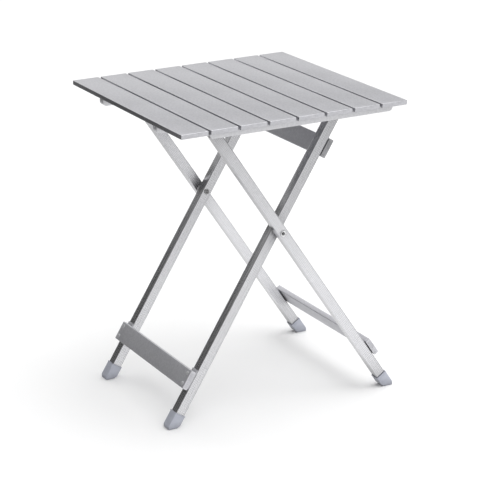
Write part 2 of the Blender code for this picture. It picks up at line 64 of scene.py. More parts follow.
# Leg tubes.
LEG_WIDTH = 0.020
LEG_DEPTH = 0.019
LEG_WALL = 0.0016
LEG_CORNER = 0.0014
LEG_INNER_CORNER = 0.0008
LEG_CORNER_STEPS = 5
LEG_SHARP_ANGLE = 40.0
RIB_COUNT = 6
RIB_STEPS = 10
RIB_DEPTH = 0.0007
# Painted shade in the grooves between the leg's ribs: its colour, and the depths where it is full and
# where it fades.
GROOVE_COLOUR = (0.52, 0.52, 0.54)
GROOVE_FLOOR = 0.7
GROOVE_RIM = 0.25
# Painted shade at the legs' upper ends under the top, and at the crossing on the inner legs' sides.
LEG_TOP_SHADE = 0.70
LEG_SHADE_END = -0.05
CROSSING_SHADE = 0.60
CROSSING_SHADE_RISE = 0.018
CROSSING_SHADE_FADE = 0.040

# Rails.
RAIL_WALL = 0.0016
RAIL_CORNER = 0.008
RAIL_CORNER_STEPS = 10
RAIL_EDGE = 0.0004
RAIL_EDGE_ANGLE = 50.0
RAIL_OVERCUT = 0.02
TRACK_LENGTH = 0.6
SLOT_HEIGHT = 0.008
RAIL_RIVET_HEIGHT = 0.0011
RAIL_RIVET_TOP = 0.0031
RAIL_RIVET_RIM = 0.0034
RAIL_RIVET_FACE = 0.0030
RAIL_RIVET_STEPS = 20
RAIL_RIVET_DROP = 0.00005

# Crossbars, with their plugs, pads and rivets.
BAR_HEIGHT = 0.038
BAR_THICK = 0.0105
BAR_WALL = 0.0014
BAR_CORNER = 0.0017
BAR_INNER_CORNER = 0.0006
PLUG_FLANGE = 0.0016
PLUG_DEPTH = 0.005
PLUG_EDGE = 0.0004
PLUG_EDGE_ANGLE = 40.0
FLUTE_COUNT = 3
FLUTE_WIDTH = 0.0007
FLUTE_DEPTH = 0.0006
FLUTE_INSET = 0.007
SPACER_THICK = 0.0017
SPACER_EDGE = 0.00035
BAR_RIVET_HEAD = 0.0040
BAR_RIVET_HEIGHT = 0.0016
BAR_RIVET_SHANK = 0.0020
BAR_RIVET_TAIL = 0.0027
BAR_RIVET_TAIL_HEIGHT = 0.0012

# Feet.
FOOT_WIDTH = 0.0236
FOOT_CHAMFER = 0.004
FOOT_NOSE_HEIGHT = 0.007
FOOT_EDGE = 0.0013
FOOT_EDGE_STEPS = 4
FOOT_EDGE_ANGLE = 20.0
FOOT_SLIM = 0.0003
FOOT_LIP = 0.0022
FOOT_LIP_EDGE = 0.0006
FOOT_LIP_ANGLE = 25.0
FOOT_LIFT = 0.0001

# Pivots.
PIVOT_HEAD = 0.0058
PIVOT_HEIGHT = 0.0020
PIVOT_TAIL_HEIGHT = 0.0012
PIVOT_MOUTH = 0.0050
PIVOT_BORE = 0.0034
PIVOT_SINK = 0.0070
PIVOT_SHANK = 0.0040
PIVOT_TAIL = 0.0054
PIVOT_CORE = 0.0019
PIVOT_GROOVE = 0.0060
# Painted shade deep in the crossing rivets' hollows, and the darker share left at their tails.
HOLLOW_DARK = 0.0066
HOLLOW_LIGHT = 0.0050
HOLLOW_SHADE = 0.04
TAIL_SHADE = 0.28
RING_RADIUS = 0.0080
RING_EDGE = 0.0008
HINGE_SHANK = 0.0030
HINGE_SHOULDER = 0.0060
HINGE_HEAD = 0.0055
HINGE_TAIL = 0.0048
BUTTON_HEIGHT = 0.0018
BUSH_RADIUS = 0.0037
SLIDE_SHANK = 0.0024
SLIDE_HEAD = 0.0048
SLIDE_COLLAR = 0.0032
SMALL_EDGE = 0.0004
STOP_EDGE = 0.0006
STOP_PARTS = 5

# Mesh settings.
GAP = 0.0003
CUTTER_MARGIN = 0.002
ROUND_STEPS = 40
DOME_STEPS = 7
DOME_ROUNDNESS = 0.9
DOME_RIM = 0.22
ROLL_STEPS = 8
RING_STEPS = 4
BEVEL_STEPS = 3
BEVEL_ANGLE = 38.0
SMOOTH_ANGLE = 32.0
OUTLINE_WELD = 0.000001
TURNED_WELD = 0.000002
LEAN_ROUNDS = 30

# Materials.
OWN_AXES = "own_axes"
NOISE_LOW = 0.38
NOISE_HIGH = 0.62
ROUGH_SPREAD = 0.06
CROWDED = 0.15
OPEN = 0.90
CONTACT_SAMPLES = 8
LOW_DETAIL = 2.0
MIDDLE_DETAIL = 3.0
HIGH_DETAIL = 4.0
EVEN = (1.0, 1.0, 1.0)
ALONG_SLAT = (1.0, 0.02, 1.0)
ALONG_LEG = (1.0, 1.0, 0.02)
GRAIN_SCALE = 900.0
SPECKLE_SCALE = 1400.0
MOTTLE_SCALE = 260.0
CLOUD_SCALE = 9.0
SPECKLE_SHARE = 0.5
MOTTLE_SHARE = 0.55
CLOUD_SHARE = 0.2
METAL_RELIEF = 0.00008
SPARK_SCALE = 1600.0
PLASTIC_MOTTLE_SCALE = 45.0
PLASTIC_MOTTLE_SHARE = 0.6
PLASTIC_RELIEF = 0.0001
PRESSING_SCALE = 700.0
PRESSING_RELIEF = 0.0001

# Finishes: a dark colour, a light colour, a roughness and a bump strength.
SLAT_FINISH = ((0.505, 0.505, 0.53), (0.65, 0.65, 0.68), 0.36, 0.3)
RAIL_FINISH = ((0.58, 0.58, 0.60), (0.72, 0.72, 0.74), 0.42, 0.2)
LEG_FINISH = ((0.80, 0.80, 0.825), (0.90, 0.90, 0.925), 0.26, 0.15)
BAR_FINISH = ((0.57, 0.57, 0.60), (0.685, 0.685, 0.715), 0.55, 0.25)
FOOT_FINISH = ((0.33, 0.345, 0.40), (0.43, 0.445, 0.505), 0.5, 0.3)
PLUG_FINISH = ((0.46, 0.46, 0.49), (0.58, 0.58, 0.61), 0.5, 0.25)
# Darker copy of the plug plastic: painted shade for the plugs under the top.
SHADED_PLUG_FINISH = ((0.23, 0.23, 0.24), (0.33, 0.33, 0.345), 0.5, 0.25)
RING_FINISH = ((0.34, 0.34, 0.35), (0.42, 0.42, 0.43), 0.5, 0.2)
NYLON_FINISH = ((0.050, 0.050, 0.055), (0.085, 0.085, 0.09), 0.4, 0.2)
RIVET_FINISH = ((0.66, 0.66, 0.68), (0.80, 0.80, 0.82), 0.40, 0.12)
# Brighter copy of the rivet steel: painted light on the crossing rivets.
BRIGHT_RIVET_FINISH = ((0.86, 0.86, 0.87), (0.96, 0.96, 0.97), 0.26, 0.12)
BAR_METALLIC = 0.75
RIVET_METALLIC = 0.7
BRIGHT_RIVET_METALLIC = 0.5

# Painted contact shade: its reach in metres, and the share of the colour that is left at a contact.
RAIL_CONTACTS = (0.03, 0.5)
OUTER_LEG_CONTACTS = (0.09, 0.20)
INNER_LEG_CONTACTS = (0.05, 0.55)
FOOT_CONTACTS = (0.03, 0.45)
PLUG_CONTACTS = (0.10, 0.25)

# Camera: azimuth from +Y towards +X, elevation above the floor, and roll, in degrees.
CAMERA_AZIMUTH = 28.632
CAMERA_ELEVATION = 18.853
CAMERA_ROLL = -0.653
CAMERA_PLACE = (-1.67154, -3.05845, 1.48510)
CAMERA_LENS = 140.2
CAMERA_SENSOR = 36.0
CAMERA_NEAR = 0.05

# Floor.
FLOOR_WIDTH = 30.0
FLOOR_THICK = 0.01
FLOOR_DROP = 0.0002
FLOOR_DARK = (0.90, 0.90, 0.90)
FLOOR_LIGHT = (0.93, 0.93, 0.93)
FLOOR_ROUGHNESS = 0.9
FLOOR_SPECULAR = 0.1
PAPER_SCALE = 3.0

# Studio light levels, and the dark card that only reflections show.
# A flag or panel has a direction, where its fade starts and ends along it, and a level.
UP = (0.0, 0.0, 1.0)
SOFTBOX_PLACE = (0.4, -0.3, 2.4)
SOFTBOX_TARGET = (0.0, 0.0, 0.4)
SOFTBOX_WIDTH = 1.6
SOFTBOX_POWER = 15.0
FLOOR_LEVEL = 1.0
WALL_LEVEL = 0.50
WALL_START = 0.10
WALL_END = 0.42
CEILING_LEVEL = 0.45
CEILING_START = 0.40
CEILING_END = 0.62
LEFT_FLAG = ((-0.92, 0.10, 0.38), 0.45, 0.80, 0.15)
RIGHT_FLAG = ((0.93, 0.20, -0.30), 0.75, 0.95, 0.35)
BACK_FLAG = ((0.12, 0.83, -0.54), 0.80, 0.95, 0.72)
FRONT_FLAG = ((-0.45, -0.85, 0.20), 0.80, 0.95, 0.30)
BACK_PANEL = ((-0.13, 0.83, 0.54), 0.88, 0.98, 1.85)
SOFT_LEVEL = 1.40
SOFT_LEFT = 0.35
CARD_LEVEL = 0.075
CARD_END_LEVEL = 0.62
CARD_AZIMUTH = 30.5
CARD_DISTANCE = 1.5
CARD_SHIFT = -0.17
CARD_WIDTH = 1.20
CARD_THICK = 0.002
CARD_BOTTOM = -0.8
CARD_TOP = 1.6
CARD_FADE_START = 0.62
CARD_FADE_END = 1.32

SIDES = (("near", -1), ("far", 1))
UPRIGHT = Matrix.Rotation(math.radians(90), 4, "X")
ALONG_X = Matrix(((0, 0, 1, 0), (1, 0, 0, 0), (0, 1, 0, 0), (0, 0, 0, 1)))


# ---------------------------------------------------------------- places from the frame

def centre(node):
    low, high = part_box(node)
    return (low + high) / 2


def size(node):
    low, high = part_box(node)
    return high - low


def joint_point(name):
    for joint in frame["joints"]:
        if joint["name"] == name:
            return Vector(joint["pos_m"])
    raise ValueError(name)


CROSSING = joint_point("scissor_fold")
HINGE = joint_point("tabletop_hinge")


def leg_shape(node, sense):
    """Lean and length of a leg tube, from its box. sense is 1 for a top towards +X, else -1."""
    across, _, height = size(node)
    lean, length = math.atan2(across, height), height
    for _ in range(LEAN_ROUNDS):
        length = (height - LEG_WIDTH * math.sin(lean)) / math.cos(lean)
        lean = math.asin((across - LEG_WIDTH * math.cos(lean)) / length)
    return sense * lean, length


INNER_LEAN, INNER_LENGTH = leg_shape("inner_leg_near", 1)
OUTER_LEAN, OUTER_LENGTH = leg_shape("outer_leg_near", -1)
LEANS = {"inner": INNER_LEAN, "outer": OUTER_LEAN}
LENGTHS = {"inner": INNER_LENGTH, "outer": OUTER_LENGTH}
BODIES = {"inner": "inner_frame", "outer": "outer_frame"}


def standing(point, lean):
    """Frame at a point with Z up along the leg and X across it."""
    return Matrix.Translation(point) @ Matrix.Rotation(lean, 4, "Y")


def facing(side):
    """Turn Z towards the near (-1) or the far (1) side."""
    return Matrix.Rotation(math.radians(-90 * side), 4, "X")


# ---------------------------------------------------------------- materials

def node_material(name):
    """A new material, with the place on the piece in the piece's own axes as its coordinates."""
    material = bpy.data.materials.new(name)
    material.use_nodes = True
    tree = material.node_tree
    shader = tree.nodes["Principled BSDF"]
    coordinates = tree.nodes.new("ShaderNodeAttribute")
    coordinates.attribute_name = OWN_AXES
    return material, tree, shader, coordinates.outputs["Vector"]


def add_noise(tree, vector, scale, stretch, detail=MIDDLE_DETAIL):
    mapping = tree.nodes.new("ShaderNodeMapping")
    mapping.inputs["Scale"].default_value = stretch
    tree.links.new(vector, mapping.inputs["Vector"])
    noise = tree.nodes.new("ShaderNodeTexNoise")
    noise.inputs["Scale"].default_value = scale
    noise.inputs["Detail"].default_value = detail
    tree.links.new(mapping.outputs["Vector"], noise.inputs["Vector"])
    return noise.outputs["Fac"]


def spread(tree, value, low, high):
    """Map a noise value, which lies mostly in its middle quarter, to low and high."""
    return map_value(tree, value, NOISE_LOW, NOISE_HIGH, low, high)


def tint(tree, value, dark, light):
    mix = tree.nodes.new("ShaderNodeMix")
    mix.data_type = "RGBA"
    mix.inputs["A"].default_value = (*dark, 1.0)
    mix.inputs["B"].default_value = (*light, 1.0)
    tree.links.new(value, mix.inputs["Factor"])
    return mix.outputs["Result"]


def blend_values(tree, first, second, share):
    """Blend two values. The share of the second one is a number or another value."""
    mix = tree.nodes.new("ShaderNodeMix")
    if isinstance(share, float):
        mix.inputs["Factor"].default_value = share
    else:
        tree.links.new(share, mix.inputs["Factor"])
    tree.links.new(first, mix.inputs["A"])
    tree.links.new(second, mix.inputs["B"])
    return mix.outputs["Result"]


def join_values(tree, first, second, operation):
    node = tree.nodes.new("ShaderNodeMath")
    node.operation = operation
    tree.links.new(first, node.inputs[0])
    tree.links.new(second, node.inputs[1])
    return node.outputs["Value"]


def paint(tree, shader, value, dark, light):
    """Colour a shader from dark to light by a noise value."""
    colour = tint(tree, spread(tree, value, 0.0, 1.0), dark, light)
    tree.links.new(colour, shader.inputs["Base Color"])


def roughen(tree, shader, value, roughness):
    """Vary a shader's roughness around its mean by a noise value."""
    rough = spread(tree, value, roughness - ROUGH_SPREAD, roughness + ROUGH_SPREAD)
    tree.links.new(rough, shader.inputs["Roughness"])


def add_bump(tree, shader, value, strength, distance):
    bump = tree.nodes.new("ShaderNodeBump")
    bump.inputs["Strength"].default_value = strength
    bump.inputs["Distance"].default_value = distance
    tree.links.new(value, bump.inputs["Height"])
    tree.links.new(bump.outputs["Normal"], shader.inputs["Normal"])


def satin_metal(name, finish, grain, metallic=1.0):
    """Satin aluminium: long fine grain lines, a matt bead-blasted speckle and soft clouds."""
    dark, light, roughness, bump = finish
    material, tree, shader, vector = node_material(name)
    lines = add_noise(tree, vector, GRAIN_SCALE, grain)
    speckle = add_noise(tree, vector, SPECKLE_SCALE, EVEN, LOW_DETAIL)
    mottle = add_noise(tree, vector, MOTTLE_SCALE, EVEN, HIGH_DETAIL)
    clouds = add_noise(tree, vector, CLOUD_SCALE, EVEN, HIGH_DETAIL)
    fine = blend_values(tree, lines, speckle, SPECKLE_SHARE)
    coarse = blend_values(tree, fine, mottle, MOTTLE_SHARE)
    shade = blend_values(tree, coarse, clouds, CLOUD_SHARE)
    paint(tree, shader, shade, dark, light)
    roughen(tree, shader, fine, roughness)
    shader.inputs["Metallic"].default_value = metallic
    add_bump(tree, shader, fine, bump, METAL_RELIEF)
    return material


def shade_grooves(material):
    """Darken the leg's metal between its ribs with painted shade in the grooves."""
    tree = material.node_tree
    shader = tree.nodes["Principled BSDF"]
    base = shader.inputs["Base Color"].links[0].from_socket
    own = own_axes_split(tree)
    surface = LEG_DEPTH / 2
    floor, rim = surface - RIB_DEPTH * GROOVE_FLOOR, surface - RIB_DEPTH * GROOVE_RIM
    depth = range_of(tree, own["Y"], floor, rim)
    side = range_of(tree, own["X"], LEG_WIDTH / 2 - LEG_CORNER, LEG_WIDTH / 2)
    unshaded = join_values(tree, depth, side, "MAXIMUM")
    mix = tree.nodes.new("ShaderNodeMix")
    mix.data_type = "RGBA"
    mix.inputs["A"].default_value = (*GROOVE_COLOUR, 1.0)
    tree.links.new(base, mix.inputs["B"])
    tree.links.new(unshaded, mix.inputs["Factor"])
    tree.links.new(mix.outputs["Result"], shader.inputs["Base Color"])
    return material


def scale_colour(material, factor):
    """Multiply a material's own colour by a value."""
    tree = material.node_tree
    shader = tree.nodes["Principled BSDF"]
    scaled = tree.nodes.new("ShaderNodeVectorMath")
    scaled.operation = "SCALE"
    tree.links.new(shader.inputs["Base Color"].links[0].from_socket, scaled.inputs["Vector"])
    tree.links.new(factor, scaled.inputs["Scale"])
    tree.links.new(scaled.outputs["Vector"], shader.inputs["Base Color"])
    return material


def add_number(tree, value, number):
    node = tree.nodes.new("ShaderNodeMath")
    node.inputs[1].default_value = number
    tree.links.new(value, node.inputs[0])
    return node.outputs["Value"]


def own_axes_split(tree):
    coordinates = tree.nodes.new("ShaderNodeAttribute")
    coordinates.attribute_name = OWN_AXES
    split = tree.nodes.new("ShaderNodeSeparateXYZ")
    tree.links.new(coordinates.outputs["Vector"], split.inputs["Vector"])
    return split.outputs


def map_value(tree, value, start, end, first, last):
    """Value that goes from first to last as another one goes from start to end."""
    ramp = tree.nodes.new("ShaderNodeMapRange")
    ramp.inputs["From Min"].default_value = start
    ramp.inputs["From Max"].default_value = end
    ramp.inputs["To Min"].default_value = first
    ramp.inputs["To Max"].default_value = last
    tree.links.new(value, ramp.inputs["Value"])
    return ramp.outputs["Result"]


def shade_leg_top(material, kind):
    """Paint shade on a leg towards its upper end, where the top shades it, but on an inner leg's sides
    only at the crossing.
    """
    tree = material.node_tree
    own = own_axes_split(tree)
    shade = map_value(tree, own["Z"], LEG_SHADE_END, INNER_LENGTH / 2, 1.0, LEG_TOP_SHADE)
    if kind == "outer":
        return scale_colour(material, shade)
    height = add_number(tree, own["Z"], -(CROSSING_SHADE_RISE + crossing_height()))
    away = range_of(tree, height, CROSSING_SHADE_RISE, CROSSING_SHADE_FADE)
    sides = map_value(tree, away, 0.0, 1.0, CROSSING_SHADE, 1.0)
    face = LEG_DEPTH / 2 - RIB_DEPTH
    wide = range_of(tree, own["Y"], face - RIB_DEPTH, face)
    return scale_colour(material, blend_values(tree, sides, shade, wide))


def crossing_height():
    """Height of the crossing above the middle of an inner leg, along the leg."""
    return (CROSSING.z - centre("inner_leg_near").z) / math.cos(INNER_LEAN)


def shade_hollow(material, grip):
    """Paint shade into a crossing rivet's deep hollows, and darken its tail. The grip runs down from Z
    = 0.
    """
    tree = material.node_tree
    height = add_number(tree, own_axes_split(tree)["Z"], grip / 2)
    reach = range_of(tree, height, grip / 2 - HOLLOW_DARK, grip / 2 - HOLLOW_LIGHT)
    tail = map_value(tree, height, -grip / 2 - GAP, -grip / 2, TAIL_SHADE, 1.0)
    hollow = map_value(tree, reach, 0.0, 1.0, HOLLOW_SHADE, 1.0)
    return scale_colour(material, join_values(tree, hollow, tail, "MULTIPLY"))


def leg_metal(name, kind, contacts):
    """Bright leg metal with painted shade in its grooves, at its upper end and at its contacts."""
    metal = satin_metal(name, LEG_FINISH, ALONG_LEG)
    return shade_contacts(shade_leg_top(shade_grooves(metal), kind), contacts)


def shade_contacts(material, contacts):
    """Paint shade into a finish where other pieces crowd it, down to a share of its colour."""
    reach, darkest = contacts
    tree = material.node_tree
    openness = tree.nodes.new("ShaderNodeAmbientOcclusion")
    openness.samples = CONTACT_SAMPLES
    openness.inputs["Distance"].default_value = reach
    share = map_value(tree, openness.outputs["AO"], CROWDED, OPEN, darkest, 1.0)
    return scale_colour(material, share)


def range_of(tree, value, low, high):
    """0 to 1 as the size of a signed value goes from low to high."""
    size_node = tree.nodes.new("ShaderNodeMath")
    size_node.operation = "ABSOLUTE"
    tree.links.new(value, size_node.inputs[0])
    return map_value(tree, size_node.outputs["Value"], low, high, 0.0, 1.0)


def moulded_plastic(name, finish):
    """Moulded plastic with a fine spark-eroded grain and a slight mottle."""
    dark, light, roughness, bump = finish
    material, tree, shader, vector = node_material(name)
    grain = add_noise(tree, vector, SPARK_SCALE, EVEN, LOW_DETAIL)
    mottle = add_noise(tree, vector, PLASTIC_MOTTLE_SCALE, EVEN, HIGH_DETAIL)
    paint(tree, shader, blend_values(tree, grain, mottle, PLASTIC_MOTTLE_SHARE), dark, light)
    roughen(tree, shader, mottle, roughness)
    add_bump(tree, shader, grain, bump, PLASTIC_RELIEF)
    return material


def turned_metal(name, finish, metallic):
    """Rivet metal with faint pressing marks."""
    dark, light, roughness, bump = finish
    material, tree, shader, vector = node_material(name)
    marks = add_noise(tree, vector, PRESSING_SCALE, EVEN)
    paint(tree, shader, marks, dark, light)
    roughen(tree, shader, marks, roughness)
    shader.inputs["Metallic"].default_value = metallic
    add_bump(tree, shader, marks, bump, PRESSING_RELIEF)
    return material


SLAT_METAL = satin_metal("slat_aluminium", SLAT_FINISH, ALONG_SLAT)
RAIL_METAL = satin_metal("rail_aluminium", RAIL_FINISH, ALONG_SLAT)
BAR_METAL = satin_metal("crossbar_aluminium", BAR_FINISH, ALONG_SLAT, BAR_METALLIC)
FOOT_LOOK = moulded_plastic("foot_plastic", FOOT_FINISH)
PLUG_LOOK = moulded_plastic("grey_plastic", PLUG_FINISH)
SHADED_PLUG_LOOK = moulded_plastic("grey_plastic_shaded", SHADED_PLUG_FINISH)
RING_LOOK = moulded_plastic("nylon_worn", RING_FINISH)
INNER_LEG_LOOK = leg_metal("inner_leg_aluminium", "inner", INNER_LEG_CONTACTS)
LOOKS = {
    "slat_aluminium": SLAT_METAL,
    "rail_aluminium": shade_contacts(RAIL_METAL, RAIL_CONTACTS),
    "leg_aluminium": leg_metal("leg_aluminium", "outer", OUTER_LEG_CONTACTS),
    "crossbar_aluminium": BAR_METAL,
    "rivet_steel": turned_metal("rivet_steel", RIVET_FINISH, RIVET_METALLIC),
    "foot_plastic": shade_contacts(FOOT_LOOK, FOOT_CONTACTS),
    "grey_plastic": shade_contacts(PLUG_LOOK, PLUG_CONTACTS),
    "nylon": moulded_plastic("nylon", NYLON_FINISH),
}


# ---------------------------------------------------------------- mesh helpers

def finish_mesh(mesh, angle):
    mesh.shade_smooth()
    mesh.set_sharp_from_angle(angle=math.radians(angle))


def apply_modifiers(piece):
    graph = bpy.context.evaluated_depsgraph_get()
    mesh = bpy.data.meshes.new_from_object(piece.evaluated_get(graph))
    piece.modifiers.clear()
    piece.data = mesh


def remove_helpers(helpers):
    for helper in helpers:
        bpy.data.objects.remove(helper)


def add_object(name, mesh, matrix):
    piece = bpy.data.objects.new(name, mesh)
    piece.matrix_world = matrix
    bpy.context.scene.collection.objects.link(piece)
    return piece


def add_boolean(piece, other, operation="DIFFERENCE"):
    boolean = piece.modifiers.new("boolean", "BOOLEAN")
    boolean.operation = operation
    boolean.object = other


def add_bevel(piece, width, segments=BEVEL_STEPS, angle=BEVEL_ANGLE):
    bevel = piece.modifiers.new("edges", "BEVEL")
    bevel.width = width
    bevel.segments = segments
    bevel.limit_method = "ANGLE"
    bevel.angle_limit = math.radians(angle)
    bevel.miter_outer = "MITER_ARC"


def box_mesh(size_x, size_y, size_z):
    shape = bmesh.new()
    bmesh.ops.create_cube(shape, size=1.0)
    bmesh.ops.scale(shape, vec=(size_x, size_y, size_z), verts=shape.verts)
    mesh = bpy.data.meshes.new("box")
    shape.to_mesh(mesh)
    shape.free()
    return mesh


def rod_mesh(radius, length):
    shape = bmesh.new()
    bmesh.ops.create_cone(
        shape, cap_ends=True, segments=ROUND_STEPS, radius1=radius, radius2=radius, depth=length
    )
    mesh = bpy.data.meshes.new("rod")
    shape.to_mesh(mesh)
    shape.free()
    return mesh


def extruded_mesh(loops, length):
    """Extrude closed loops of (x, y) points along Z, half to each side. Inner loops are holes."""
    curve = bpy.data.curves.new("outline", "CURVE")
    curve.dimensions = "2D"
    curve.fill_mode = "BOTH"
    curve.extrude = length / 2
    for loop in loops:
        spline = curve.splines.new("POLY")
        spline.points.add(len(loop) - 1)
        for point, (x, y) in zip(spline.points, loop):
            point.co = (x, y, 0.0, 1.0)
        spline.use_cyclic_u = True
    outline = add_object("outline", curve, Matrix.Identity(4))
    graph = bpy.context.evaluated_depsgraph_get()
    mesh = bpy.data.meshes.new_from_object(outline.evaluated_get(graph))
    bpy.data.objects.remove(outline)
    shape = bmesh.new()
    shape.from_mesh(mesh)
    bmesh.ops.remove_doubles(shape, verts=shape.verts, dist=OUTLINE_WELD)
    bmesh.ops.recalc_face_normals(shape, faces=shape.faces)
    shape.to_mesh(mesh)
    shape.free()
    return mesh


def turned_mesh(profile, steps=ROUND_STEPS):
    """Turn a profile of (radius, height) points, from the top down, about Z."""
    shape = bmesh.new()
    verts = [shape.verts.new((radius, 0.0, height)) for radius, height in profile]
    edges = [shape.edges.new(pair) for pair in zip(verts, verts[1:])]
    bmesh.ops.spin(
        shape, geom=verts + edges, cent=(0, 0, 0), axis=(0, 0, 1), angle=2 * math.pi, steps=steps
    )
    bmesh.ops.remove_doubles(shape, verts=shape.verts, dist=TURNED_WELD)
    bmesh.ops.recalc_face_normals(shape, faces=shape.faces)
    mesh = bpy.data.meshes.new("turned")
    shape.to_mesh(mesh)
    shape.free()
    return mesh


def arc(centre_x, centre_y, radius, start, end, steps):
    angles = [math.radians(start + (end - start) * i / steps) for i in range(steps + 1)]
    return [(centre_x + radius * math.cos(a), centre_y + radius * math.sin(a)) for a in angles]


def rounded_rectangle(width, height, radius, steps=LEG_CORNER_STEPS):
    x, y = width / 2 - radius, height / 2 - radius
    return (
        arc(x, y, radius, 0, 90, steps)
        + arc(-x, y, radius, 90, 180, steps)
        + arc(-x, -y, radius, 180, 270, steps)
        + arc(x, -y, radius, 270, 360, steps)
    )


def dome(head, height):
    """Profile of a domed head, from its middle out to its rim."""
    points = []
    for index in range(DOME_STEPS + 1):
        angle = math.radians(90 * index / DOME_STEPS)
        level = DOME_RIM + (1 - DOME_RIM) * math.cos(angle)
        points.append((head * math.sin(angle) ** DOME_ROUNDNESS, height * level))
    points[0] = (0.0, height)
    return points + [(head, 0.0)]


def rolled_head(head, height):
    """Profile of a tubular rivet's rolled head, from the bottom of its hollow out to its rim."""
    ring = (head - PIVOT_MOUTH) / 2
    points = [(0.0, -PIVOT_SINK), (PIVOT_BORE, -PIVOT_SINK), (PIVOT_BORE, 0.0)]
    for x, y in arc(PIVOT_MOUTH + ring, 0.0, ring, 180, 0, ROLL_STEPS):
        points.append((x, height / 2 + height / 2 * y / ring))
    return points + [(head, 0.0)]


def keep_own_axes(piece):
    """Store each point in the piece's own axes for its material, then move the mesh into place."""
    mesh = piece.data
    stored = mesh.attributes.new(OWN_AXES, "FLOAT_VECTOR", "POINT")
    for vertex, item in zip(mesh.vertices, stored.data):
        item.vector = vertex.co
    mesh.transform(piece.matrix_world)
    piece.matrix_world = Matrix.Identity(4)


def show(piece, slot, body, *nodes, angle=SMOOTH_ANGLE, look=None):
    """Give a piece its finish, let it ride on its body and stand for its CAD nodes."""
    finish_mesh(piece.data, angle)
    keep_own_axes(piece)
    piece.data.materials.clear()
    piece.data.materials.append(look or LOOKS[slot])
    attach(piece, body)
    if nodes:
        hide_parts(*nodes)
    return piece


# ---------------------------------------------------------------- slats

def make_slats():
    """Hollow slats with soft edges, closed ends and a slot between two lips underneath."""
    for number in range(1, SLAT_COUNT + 1):
        node = "slat_%d" % number
        wide, long, thick = size(node)
        place = Matrix.Translation(centre(node))
        slat = add_object(node + "_look", box_mesh(wide, long, thick), place)
        add_bevel(slat, SLAT_EDGE, SLAT_BEVEL_STEPS)
        inner_length = long - 2 * SLAT_END_WALL
        hollow = box_mesh(wide - 2 * SLAT_SKIN, inner_length, thick - 2 * SLAT_SKIN)
        slot = box_mesh(SLAT_SLOT, inner_length, thick)
        helpers = [
            add_object("hollow", hollow, place),
            add_object("slot", slot, place @ Matrix.Translation((0.0, 0.0, -thick / 2))),
        ]
        for helper in helpers:
            add_boolean(slat, helper)
        apply_modifiers(slat)
        remove_helpers(helpers)
        show(slat, "slat_aluminium", "tabletop", node)


# ---------------------------------------------------------------- rails

def rail_outline(low, high):
    """Side view of a rail between two corners of its box, with both lower corners rounded."""
    corner = low.z + RAIL_CORNER
    return (
        [(low.x, high.z)]
        + arc(low.x + RAIL_CORNER, corner, RAIL_CORNER, 180, 270, RAIL_CORNER_STEPS)
        + arc(high.x - RAIL_CORNER, corner, RAIL_CORNER, 270, 360, RAIL_CORNER_STEPS)
        + [(high.x, high.z)]
    )


def cut_rail(name, slot_name, node, cutter_mesh, cutter_place):
    low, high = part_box(node)
    middle = Matrix.Translation((0.0, (low.y + high.y) / 2, 0.0))
    rail = add_object(name, extruded_mesh([rail_outline(low, high)], high.y - low.y), middle @ UPRIGHT)
    cutter = add_object("cutter", cutter_mesh, cutter_place)
    add_boolean(rail, cutter)
    add_bevel(rail, RAIL_EDGE, 2, RAIL_EDGE_ANGLE)
    apply_modifiers(rail)
    remove_helpers([cutter])
    return show(rail, slot_name, "tabletop", node)


def make_rails():
    for word, side in SIDES:
        node = "inner_rail_" + word
        low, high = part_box(node)
        roof = high.z - RAIL_WALL
        below = low.z - CUTTER_MARGIN
        mesh = box_mesh(high.x - low.x + RAIL_OVERCUT, high.y - low.y - 2 * RAIL_WALL, roof - below)
        place = Matrix.Translation((0.0, (low.y + high.y) / 2, (roof + below) / 2))
        cut_rail(node + "_look", "rail_aluminium", node, mesh, place)
        add_rail_rivets("inner_rail_rivets_" + word, (low.y + high.y) / 2, roof)

        node = "outer_rail_" + word
        low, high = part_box(node)
        middle_y = (low.y + high.y) / 2
        half = (high.y - low.y) / 2
        floor, roof = low.z + RAIL_WALL, high.z - RAIL_WALL
        slot_top = HINGE.z + SLOT_HEIGHT / 2
        wall, beyond = side * (half - RAIL_WALL), -side * (half + CUTTER_MARGIN)
        track = [(wall, floor), (wall, roof), (-wall, roof), (-wall, slot_top)]
        track += [(beyond, slot_top), (beyond, floor)]
        place = Matrix.Translation((0.0, middle_y, 0.0)) @ ALONG_X
        mesh = extruded_mesh([track], TRACK_LENGTH)
        cut_rail(node + "_look", "rail_aluminium", node, mesh, place)
        add_rail_rivets("outer_rail_rivets_" + word, middle_y, roof, low.x, high.x)


def add_rail_rivets(name, y, roof, low_x=-1.0, high_x=1.0):
    """Flat heads under the rail's roof that hold it to the lips of the slats."""
    head = [
        (0.0, 0.0),
        (RAIL_RIVET_TOP, 0.0),
        (RAIL_RIVET_RIM, -GAP),
        (RAIL_RIVET_FACE, -RAIL_RIVET_HEIGHT),
        (0.0, -RAIL_RIVET_HEIGHT),
    ]
    shape = bmesh.new()
    for number in range(1, SLAT_COUNT + 1):
        for sign in (-1, 1):
            x = centre("slat_%d" % number).x + sign * SLAT_RIVET_OFFSET
            if low_x + RAIL_CORNER < x < high_x - RAIL_CORNER:
                mesh = turned_mesh(head, RAIL_RIVET_STEPS)
                mesh.transform(Matrix.Translation((x, y, roof - RAIL_RIVET_DROP)))
                shape.from_mesh(mesh)
    mesh = bpy.data.meshes.new(name)
    shape.to_mesh(mesh)
    shape.free()
    show(add_object(name, mesh, Matrix.Identity(4)), "rivet_steel", "tabletop")


# ---------------------------------------------------------------- legs

def ribbed_face(half_width, half_depth):
    """Crowned ribs with narrow grooves between them, along one wide face of the leg."""
    pitch = 2 * half_width / RIB_COUNT
    points = []
    for rib in range(RIB_COUNT):
        left = -half_width + rib * pitch
        for step in range(RIB_STEPS):
            share = (step + 0.5) / RIB_STEPS
            depth = RIB_DEPTH * (1 - math.sqrt(1 - (2 * share - 1) ** 2))
            points.append((left + share * pitch, half_depth - depth))
    return points


